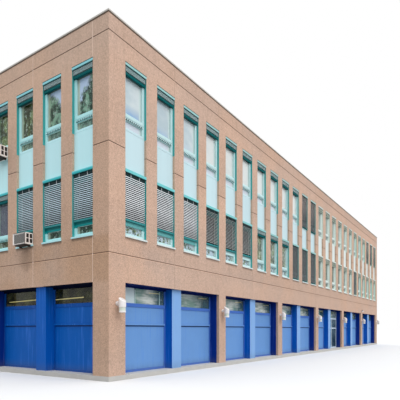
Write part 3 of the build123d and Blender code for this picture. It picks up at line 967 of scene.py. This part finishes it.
class BUILDING_OT_blinds(bpy.types.Operator):
    """Makes the outside blinds: raised, hanging, slanted or closed"""

    bl_idname = "building.blinds"
    bl_label = "Blinds"

    def execute(self, context):
        sizes = context.scene.building_sizes
        wide, head = sizes.window_width, sizes.window_height
        hanging = head - 0.215

        def row(name, state, finish, first, last, tilt, play, bays=(6, 2),
                step=sizes.slat_pitch, thick=0.0012):
            """Slats from the first level down to the last, tilted by degrees with some play."""
            slat = self.slat(BLIND_GAP, wide - BLIND_GAP, sizes.slat_width, thick)
            places = moved(with_blinds(sizes, state, bays=bays), BLIND_DEPTH, first)
            return repeat(name, slat, places, finish, int((first - last) / step) + 1,
                          (0, 0, -step), math.radians(tilt), math.radians(play))

        stack = row("raised_slats", "raised", "raised_blind", head - 0.118, head - 0.250, 2, 3,
                    step=0.016, thick=0.009)
        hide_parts("window_blinds")
        row("lowered_slats", "lowered", "blind", hanging, 0.59, 46, 0.8, bays=(6,))
        row("end_lowered_slats", "lowered", "blind", hanging, 0.59, 44, 0.8, bays=(2,))
        row("slanted_slats", "slanted", "slanted_blind", hanging, 0.62, 32, 1.2)
        row("closed_slats", "closed", "dark_blind", head - 0.15, 0.12, 60, 3)
        self.rails(sizes)
        self.tapes(sizes)
        # Head boxes painted as dark as they look in their shade
        box = boxes((BLIND_GAP, wide - BLIND_GAP, 0.046, 0.083, head - 0.178, head - 0.101))
        repeat("blind_head_boxes", box, with_blinds(sizes, "lowered", "slanted"), "head_box")
        return {"FINISHED"}

    @staticmethod
    def slat(start, end, width, thick):
        """A thin slat, crowned across its width, with its middle at the origin."""
        steps, crown = 3, 0.005
        arch = []
        for k in range(steps + 1):
            share = 2 * k / steps - 1
            arch.append((share * width / 2, crown * (1 - share ** 2)))
        section = [(y, z + thick / 2) for y, z in arch]
        section += [(y, z - thick / 2) for y, z in reversed(arch)]
        bm = bmesh.new()
        join_loops(bm, [[bm.verts.new((x, y, z)) for y, z in section] for x in (start, end)])
        return bm

    @staticmethod
    def rails(sizes):
        wide, head = sizes.window_width, sizes.window_height
        for state, foot, tall, finish in (
                ("raised", head - 0.364, 0.085, "rail"), ("lowered", 0.512, 0.054, "hanging_rail"),
                ("slanted", 0.542, 0.054, "hanging_rail"), ("closed", 0.07, 0.05, "rail")):
            top, edge = foot + tall, 0.004
            inner = (BLIND_GAP + edge, foot + edge, top - edge)
            bm = boxes((inner[0], wide - inner[0], 0.030, 0.083, *inner[1:]))
            add_ring(bm, wide, (BLIND_GAP, foot, top), inner,
                     ((0, 0.034), (1, 0.030), (1, 0.083), (0, 0.080)))
            repeat(state + "_bottom_rails", bm, with_blinds(sizes, state), finish)

    @staticmethod
    def tapes(sizes):
        """The tapes that carry the slats, and their upper ends over the slats."""
        head = sizes.window_height
        for state, foot, finish in (("lowered", 0.60, "tape"), ("slanted", 0.60, "dark_blind"),
                                    ("closed", 0.12, "dark_blind")):
            bm = bmesh.new()
            for x in (sizes.window_width * 0.3, sizes.window_width * 0.7):
                add_box(bm, x - 0.0015, x + 0.0015, 0.053, 0.056, foot, head - 0.180)
                add_box(bm, x - 0.012, x + 0.012, 0.040, 0.0415, head - 0.225, head - 0.012)
            repeat(state + "_tapes", bm, with_blinds(sizes, state), finish)


class BUILDING_OT_inner_blinds(bpy.types.Operator):
    """Makes the reveal boards behind the glass and the upright slats of the inner blinds"""

    bl_idname = "building.inner_blinds"
    bl_label = "Inner Blinds"

    def execute(self, context):
        sizes = context.scene.building_sizes
        wide, tall = sizes.window_width, sizes.window_height
        self.slats(sizes, "inner_blind_slats", 3, 0.12, 0.036, 0.030, 0.012,
                   lambda side, number, upper: side.bays == 2)
        bm = bmesh.new()
        add_ring(bm, wide, (0.002, 0.002, tall - 0.002), (0.012, 0.012, tall - 0.012),
                 ((0, 0.176), (1, 0.176), (1, 0.299), (0, 0.299)))
        repeat("inner_reveals", bm, windows(sizes), "inner_reveal")
        self.slats(sizes, "drawn_blind_slats", 13, 0.16, 0.050, 0.044, 0.010,
                   lambda side, number, upper: side.bays == 6 and not upper and number == 9)
        return {"FINISHED"}

    @staticmethod
    def slats(sizes, name, count, start, pitch, width, stagger, wanted):
        """Upright slats, every second one set back by the stagger."""
        bm = bmesh.new()
        for i in range(count):
            x, y = start + i * pitch, 0.205 + stagger * (i % 2)
            add_box(bm, x, x + width, y, y + 0.004, 0.03, sizes.window_height - 0.25)
        repeat(name, bm, windows(sizes, wanted), "inner_blind")


class BUILDING_OT_sealant(bpy.types.Operator):
    """Fills the joints between the concrete panels, and sets a dark strip under the coping
    where its shadow lies
    """

    bl_idname = "building.sealant"
    bl_label = "Joint Sealant"

    def execute(self, context):
        sizes = context.scene.building_sizes
        pier = sizes.window_pitch - sizes.window_width
        top = sizes.first_joint + 2 * sizes.storey_height
        head = sizes.first_sill + sizes.storey_height + sizes.window_height
        places = []
        for side in sides:
            for k in range(1, side.bays * 2 + 1):
                along = sizes.corner_width - pier + k * 2 * sizes.window_pitch
                places.append(side.place(along - 0.008))
        # An upright strip fills the chamfered joints below and above the windows
        outline = ((-0.0195, 0.002), (0.0195, 0.002), (0.0078, 0.0137), (0.0078, 0.05),
                   (-0.0078, 0.05), (-0.0078, 0.0137))
        bm = bmesh.new()
        for z0, z1 in ((sizes.lintel, sizes.first_sill - 0.02), (head, top + 0.55)):
            ends = [[bm.verts.new((x, y, z)) for x, y in outline]
                    for z in (z0 + 0.002, z1 - 0.002)]
            bm.faces.new(ends[0][::-1])
            bm.faces.new(ends[1])
            join_loops(bm, ends)
        repeat("joint_sealant", bm, places, "sealant")
        joint = sizes.first_joint
        self.round_building("level_joint", "level_sealant", "concrete", (
            (-0.004, joint - 0.012), (-0.012, joint + 0.004), (-0.050, joint + 0.007),
            (-0.050, joint - 0.007)))
        # A dark strip under the coping's lip, which stands in for the shadow there
        self.round_building("coping_seal", "coping_seal", "coping_metal", (
            (0.011, top + 0.512), (0.011, top + 0.549), (-0.01, top + 0.549),
            (-0.01, top + 0.512)))
        return {"FINISHED"}

    @staticmethod
    def round_building(name, finish, slot, section):
        """A ring round the building. Its section is a loop of (reach out of the wall, level)."""
        bm = bmesh.new()
        loops = []
        for out, level in section:
            x, y = high.x + out, high.y + out
            loops.append([bm.verts.new((a, b, level))
                          for a, b in ((-x, -y), (x, -y), (x, y), (-x, y))])
        join_loops(bm, loops, closed=True)
        settle(one_piece(name, bm, finishes[finish]))


class BUILDING_OT_ground_floor(bpy.types.Operator):
    """Makes the soffit boards and the clerestory bars"""

    bl_idname = "building.ground_floor"
    bl_label = "Ground Floor Trim"

    def execute(self, context):
        sizes = context.scene.building_sizes
        lintel, face, wide = sizes.lintel, sizes.infill_setback, 2.44
        # The half bays' left ends: beside a pier lining and beside a post
        places = [side.place(sizes.corner_width + bay * sizes.bay_length + start)
                  for side in sides for bay in range(side.bays) for start in (0.02, 3.0)]
        # The second box is a navy strip in front of the infill frames' head, put where that head
        # lies in shade
        boards = boxes((0.0, wide, 0.012, face - 0.001, lintel - 0.012, lintel - 0.001),
                       (0.0, wide, face - 0.024, face - 0.001, lintel - 0.078, lintel - 0.012))
        repeat("soffit_boards", boards, places, "soffit")
        half = 0.018
        bars = boxes(*((x - half, x + half, face + 0.018, face + 0.029, 2.421, 2.929)
                       for x in (0.88, 2.13)))
        repeat("clerestory_bars", bars, places[:1], "bead")
        return {"FINISHED"}


class BUILDING_OT_coolers(bpy.types.Operator):
    """Makes the two room coolers, with their grilles, vents and brackets"""

    bl_idname = "building.coolers"
    bl_label = "Coolers"

    def execute(self, context):
        sizes = context.scene.building_sizes
        near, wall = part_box("window_coolers")[0].x, low.x
        wide, tall, bars = 0.68, 0.39, 22
        casings, grilles, vents = bmesh.new(), bmesh.new(), bmesh.new()
        for window, z0 in ((3, sizes.first_sill + 0.03),
                           (4, sizes.first_sill + sizes.storey_height + 0.06)):
            y0 = low.y + sizes.corner_width + (window - 1) * sizes.window_pitch + 0.03
            y1, z1 = y0 + wide, z0 + tall
            self.casing(casings, near, y0, y1, z0, z1)
            for i in range(bars):
                z = z0 + 0.045 + (tall - 0.09) * (i + 0.5) / bars
                add_box(grilles, near + 0.008, near + 0.015, y0 + 0.045, y1 - 0.060,
                        z - 0.0045, z + 0.0045)
            # A dark sheet behind the grille and dark vents in the side, which stand in for the
            # shade inside the casing, and the tray and its brackets in the same dark paint, which
            # paints the shade under the cooler
            add_box(vents, near + 0.016, near + 0.020, y0 + 0.045, y1 - 0.060, z0 + 0.042,
                    z1 - 0.042)
            for x in (near + 0.068, near + 0.196):
                for z in (z0 + 0.048, z0 + 0.214):
                    add_box(vents, x, x + 0.092, y0 - 0.0015, y0 + 0.002, z, z + 0.142)
            add_box(vents, near + 0.05, wall - 0.002, y0 + 0.06, y1 - 0.04, z0 - 0.035,
                    z0 - 0.003)
            for y in (y0 + 0.08, y1 - 0.12):
                add_box(vents, wall - 0.12, wall - 0.002, y, y + 0.035, z0 - 0.075, z0 - 0.035)
        body = one_piece("cooler_casings", casings, finishes["cooler_casing"])
        settle(body)
        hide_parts("window_coolers")
        settle(one_piece("cooler_grilles", grilles, finishes["grille"]))
        settle(one_piece("cooler_vents", vents, finishes["black"]))
        return {"FINISHED"}

    @staticmethod
    def casing(bm, near, y0, y1, z0, z1):
        """A box with a sunk front for the grille, which leaves room for knobs beside it."""
        border, sunk, knobs = 0.04, 0.022, 0.018
        before = set(bm.faces)
        add_box(bm, near, low.x + 0.09, y0, y1, z0, z1)
        front = [f for f in bm.faces
                 if f not in before and f.calc_center_median().x < near + 0.001]
        bmesh.ops.inset_region(bm, faces=front, thickness=border)
        for vert in {v for f in front for v in f.verts}:
            vert.co += Vector((sunk, -knobs if vert.co.y > (y0 + y1) / 2 else 0.0, 0))


class BUILDING_OT_lamps(bpy.types.Operator):
    """Makes the wall lamps of the front and the small globe lamp"""

    bl_idname = "building.lamps"
    bl_label = "Lamps"

    def execute(self, context):
        sizes = context.scene.building_sizes
        pier = (sizes.window_pitch - sizes.window_width) / 2
        corner = sizes.corner_width
        along = [corner / 2, *(corner + k * sizes.bay_length - pier for k in range(1, 6)),
                 high.x - low.x - corner / 2]
        places = [sides[0].place(s) for s in along]
        # The hood with its lower edge, the foot, and the plate, boss and arm on the wall
        bm = bmesh.new()
        self.turned(bm, ((0.0, 2.530), (0.094, 2.530), (0.108, 2.522), (0.112, 2.510),
                         (0.112, 2.222), (0.108, 2.216), (0.099, 2.216)), cut=True)
        self.turned(bm, ((0.0, 2.114), (0.104, 2.114), (0.107, 2.108), (0.107, 2.068),
                         (0.102, 2.060), (0.0, 2.060)))
        self.disc(bm, 0.072, 0.0, 0.030)
        self.disc(bm, 0.050, 0.030, 0.060)
        self.disc(bm, 0.028, 0.030, 0.180)
        hoods = repeat("lamp_hoods", bm, places, "lamp_white")
        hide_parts("wall_lamps")
        bm = bmesh.new()
        self.turned(bm, ((0.0, 2.220), (0.094, 2.220), (0.097, 2.19), (0.097, 2.14),
                         (0.094, 2.110), (0.0, 2.110)), ribs=0.0035)
        repeat("lamp_glasses", bm, places, "lantern")
        self.globe([places[5]])
        return {"FINISHED"}

    def globe(self, places):
        """A small globe under a dark cap on an arm."""
        middle, radius, steps = 3.184, 0.078, 9
        profile = [(0.0, middle - radius)]
        for k in range(1, steps):
            angle = math.pi * k / steps
            profile.append((radius * math.sin(angle), middle - radius * math.cos(angle)))
        bm = bmesh.new()
        self.turned(bm, profile + [(0.0, middle + radius)], reach=0.085, around=20)
        shade = repeat("globe_shade", bm, places, "lamp_white")
        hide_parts("globe_lamp")
        bm = bmesh.new()
        self.turned(bm, ((0.0, 3.236), (0.060, 3.236), (0.056, 3.262), (0.036, 3.290),
                         (0.0, 3.298)), reach=0.085, around=20)
        self.disc(bm, 0.032, 0.0, 0.010, 3.262, 20)
        self.disc(bm, 0.012, 0.010, 0.085, 3.270, 12)
        repeat("globe_cap", bm, places, "brown_metal")

    @staticmethod
    def circle(radius, around, ribs=0.0):
        """Points round a circle, every second one further out by the ribs."""
        points = []
        for k in range(around):
            angle = 2 * math.pi * k / around
            grown = radius + (ribs if k % 2 else 0)
            points.append((grown * math.cos(angle), grown * math.sin(angle)))
        return points

    def turned(self, bm, profile, cut=False, ribs=0.0, reach=0.215, around=28):
        """Turns a profile of (radius, height) round the lamp's upright axis. A cut slants
        its top down towards the street."""
        loops = []
        for radius, height in profile:
            slope = 0.6 if cut and height > 2.4 else 0.0
            loops.append([bm.verts.new((x, y - reach, height - slope * (0.112 - y)))
                          for x, y in (self.circle(radius, around, ribs) if radius
                                       else [(0.0, 0.0)])])
        for first, second in zip(loops, loops[1:]):
            if len(first) == len(second):
                join_loops(bm, [first, second])
            else:
                tip, rim = sorted((first, second), key=len)
                for k in range(around):
                    bm.faces.new((tip[0], rim[k], rim[(k + 1) % around]))

    def disc(self, bm, radius, near, far, level=2.345, around=28):
        """A short round bar that stands out of the wall."""
        ends = [[bm.verts.new((x, -depth, level + z)) for x, z in self.circle(radius, around)]
                for depth in (near, far)]
        join_loops(bm, ends)
        bm.faces.new(ends[1])
        bm.faces.new(ends[0][::-1])


class BUILDING_OT_stage(bpy.types.Operator):
    """Sets the pale floor, the soft light and the camera"""

    bl_idname = "building.stage"
    bl_label = "Stage"

    def execute(self, context):
        scene = context.scene
        scene.view_settings.view_transform = "Standard"
        self.floor()
        self.world(scene)
        self.sun()
        self.camera(scene)
        return {"FINISHED"}

    @staticmethod
    def floor():
        """A floor that is paler where it is seen than where it lights the building."""
        finish = Finish("Pale floor")
        camera, glossy, through = [finish.node("ShaderNodeLightPath", output=ray) for ray in
                                   ("Is Camera Ray", "Is Glossy Ray", "Is Transmission Ray")]
        pale = finish.mix(camera + glossy + through, (0.34, 0.34, 0.34), (0.8, 0.8, 0.8))
        slab = boxes((-400, 400, -400, 400, -0.5, -0.002))
        floor = one_piece("floor", slab, finish.surface(pale, 0.9))

    @staticmethod
    def world(scene):
        """White where it is seen, and for light a sky that is brighter overhead."""
        world = bpy.data.worlds.new("Sky")
        scene.world = world
        world.use_nodes = True
        world.node_tree.nodes.clear()

        def add(kind, settings=None, inputs=None):
            return add_node(world.node_tree, kind, settings, inputs).outputs

        path = add("ShaderNodeLightPath")
        seen = path["Is Camera Ray"]
        for ray in ("Is Glossy Ray", "Is Transmission Ray"):
            seen = add("ShaderNodeMath", {"operation": "MAXIMUM"}, {0: seen, 1: path[ray]})[0]
        height = add("ShaderNodeSeparateXYZ", None,
                     {0: add("ShaderNodeTexCoord")["Generated"]})["Z"]
        rise = add("ShaderNodeMapRange", None, {"Value": height, "From Max": 0.8,
                                                "To Min": 0.55, "To Max": 1.35})[0]
        light = add("ShaderNodeBackground", None, {"Color": (0.93, 0.96, 1, 1), "Strength": rise})
        white = add("ShaderNodeBackground", None, {"Color": (1, 1, 1, 1)})
        both = add("ShaderNodeMixShader", None, {0: seen, 1: light[0], 2: white[0]})
        add("ShaderNodeOutputWorld", None, {"Surface": both[0]})

    @staticmethod
    def sun():
        """A soft sun from behind the camera."""
        light = bpy.data.lights.new("sun_soft", "SUN")
        light.energy = 1.35
        light.angle = math.radians(50)
        light.color = (1.0, 0.985, 0.96)
        made = new_object("sun_soft", light)
        made.rotation_euler = (math.radians(46), 0, math.radians(-10))

    @staticmethod
    def camera(scene):
        """The photograph's view: level, with the horizon shifted down in the picture."""
        picture, focal, middle, horizon = 400, 420.05, 212.24, 329.3
        data = bpy.data.cameras.new("camera")
        data.sensor_fit = "HORIZONTAL"
        data.sensor_width = 36.0
        data.lens = data.sensor_width * focal / picture
        data.shift_x = 0.5 - middle / picture
        data.shift_y = horizon / picture - 0.5
        data.clip_end = 2000
        camera = new_object("camera", data)
        camera.location = (low.x - 8.7555, low.y - 9.3316, 1.5588)
        camera.rotation_euler = (math.radians(90), 0, math.radians(32.9745 - 90))
        scene.camera = camera


class BUILDING_PT_panel(bpy.types.Panel):
    """Lists the building's pieces in the sidebar"""

    bl_idname = "BUILDING_PT_panel"
    bl_label = "Office Building"
    bl_space_type = "VIEW_3D"
    bl_region_type = "UI"
    bl_category = "Building"

    def draw(self, context):
        layout = self.layout
        for group in (context.scene.building_sizes, context.scene.building_colours):
            column = layout.column()
            for name in group.__annotations__:
                column.prop(group, name)
        for operator in operators:
            layout.operator(operator.bl_idname)


operators = (
    BUILDING_OT_finishes,
    BUILDING_OT_window_frames,
    BUILDING_OT_sash_beads,
    BUILDING_OT_vents,
    BUILDING_OT_reveals,
    BUILDING_OT_blinds,
    BUILDING_OT_inner_blinds,
    BUILDING_OT_sealant,
    BUILDING_OT_ground_floor,
    BUILDING_OT_coolers,
    BUILDING_OT_lamps,
    BUILDING_OT_stage,
)
classes = (BuildingSizes, BuildingColours, *operators, BUILDING_PT_panel)


def register():
    for each in classes:
        bpy.utils.register_class(each)
    bpy.types.Scene.building_sizes = PointerProperty(type=BuildingSizes)
    bpy.types.Scene.building_colours = PointerProperty(type=BuildingColours)


def unregister():
    del bpy.types.Scene.building_colours
    del bpy.types.Scene.building_sizes
    for each in reversed(classes):
        bpy.utils.unregister_class(each)


def main():
    """Makes every piece."""
    register()
    for operator in operators:
        group, name = operator.bl_idname.split(".")
        getattr(getattr(bpy.ops, group), name)()


if __name__ == "__main__":
    main()
